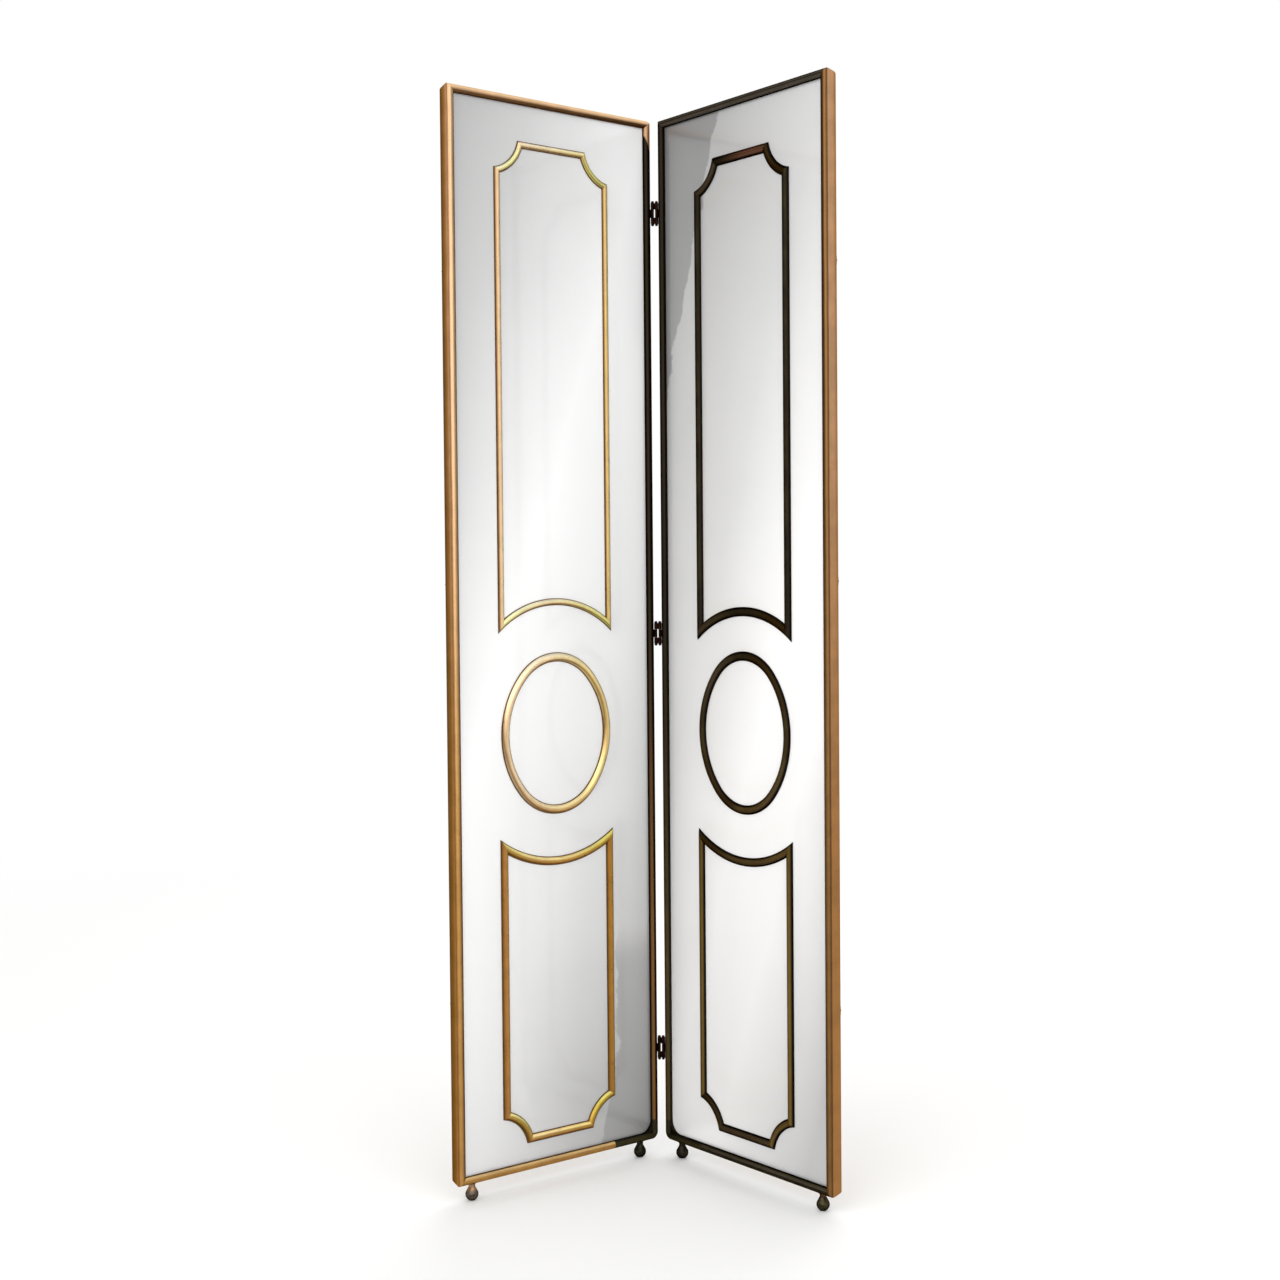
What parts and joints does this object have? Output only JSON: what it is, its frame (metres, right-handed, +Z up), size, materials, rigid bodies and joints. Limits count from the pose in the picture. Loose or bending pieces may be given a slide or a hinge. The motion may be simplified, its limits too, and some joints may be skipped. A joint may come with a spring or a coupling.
{
  "type": "folding floor mirror",
  "caption": "Tall folding floor mirror: brass-framed mirror leaves with applied brass mouldings, joined by double-pin hinges, standing open on ball feet.",
  "frame": {"origin": "on the floor, at the middle of the footprint of the mirror standing open", "axes": "+Z up, the mirrored faces look towards -Y, +X is to the viewer's right"},
  "size_m": [0.652, 0.3187, 1.86],
  "materials": {
    "frame_brass": "polished, aged",
    "moulding_brass": "polished",
    "dark_brass": "patinated",
    "screw_brass": "satin",
    "mirror_glass": "silvered",
    "back_board": "plain board"
  },
  "bodies": {
    "hinge_links": {"hinge_link_top": "dark_brass", "hinge_link_middle": "dark_brass", "hinge_link_bottom": "dark_brass", "hinge_pins": "screw_brass"},
    "left_leaf": {"left_outer_stile": "frame_brass", "left_hinge_stile": "frame_brass", "left_top_rail": "frame_brass", "left_bottom_rail": "frame_brass", "left_bottom_corner": "frame_brass", "left_mirror_glass": "mirror_glass", "left_back_board": "back_board", "left_upper_bar": "moulding_brass", "left_upper_notch_outer": "moulding_brass", "left_upper_notch_inner": "moulding_brass", "left_upper_side_outer": "moulding_brass", "left_upper_side_inner": "moulding_brass", "left_upper_arc": "moulding_brass", "left_oval": "moulding_brass", "left_lower_bar": "moulding_brass", "left_lower_notch_outer": "moulding_brass", "left_lower_notch_inner": "moulding_brass", "left_lower_side_outer": "moulding_brass", "left_lower_side_inner": "moulding_brass", "left_lower_arc": "moulding_brass", "left_outer_foot": "dark_brass", "left_inner_foot": "dark_brass", "left_hinge_plate_top": "dark_brass", "left_hinge_plate_middle": "dark_brass", "left_hinge_plate_bottom": "dark_brass", "left_hinge_screws": "screw_brass", "left_back_clips": "screw_brass", "left_clip_screws": "screw_brass"},
    "right_leaf": {"right_outer_stile": "frame_brass", "right_hinge_stile": "frame_brass", "right_top_rail": "frame_brass", "right_bottom_rail": "frame_brass", "right_bottom_corner": "frame_brass", "right_mirror_glass": "mirror_glass", "right_back_board": "back_board", "right_upper_bar": "moulding_brass", "right_upper_notch_outer": "moulding_brass", "right_upper_notch_inner": "moulding_brass", "right_upper_side_outer": "moulding_brass", "right_upper_side_inner": "moulding_brass", "right_upper_arc": "moulding_brass", "right_oval": "moulding_brass", "right_lower_bar": "moulding_brass", "right_lower_notch_outer": "moulding_brass", "right_lower_notch_inner": "moulding_brass", "right_lower_side_outer": "moulding_brass", "right_lower_side_inner": "moulding_brass", "right_lower_arc": "moulding_brass", "right_outer_foot": "dark_brass", "right_inner_foot": "dark_brass", "right_hinge_plate_top": "dark_brass", "right_hinge_plate_middle": "dark_brass", "right_hinge_plate_bottom": "dark_brass", "right_hinge_screws": "screw_brass", "right_back_clips": "screw_brass", "right_clip_screws": "screw_brass"}
  },
  "joints": [
    {"name": "left_fold", "type": "hinge", "parent": "hinge_links", "child": "left_leaf", "pos_m": [-0.0035, 0.14473, 0.03], "axis": [0, 0, -1], "range_deg": [-45, 58]},
    {"name": "right_fold", "type": "hinge", "parent": "hinge_links", "child": "right_leaf", "pos_m": [0.0035, 0.14473, 0.03], "axis": [0, 0, 1], "range_deg": [-45, 58]}
  ]
}
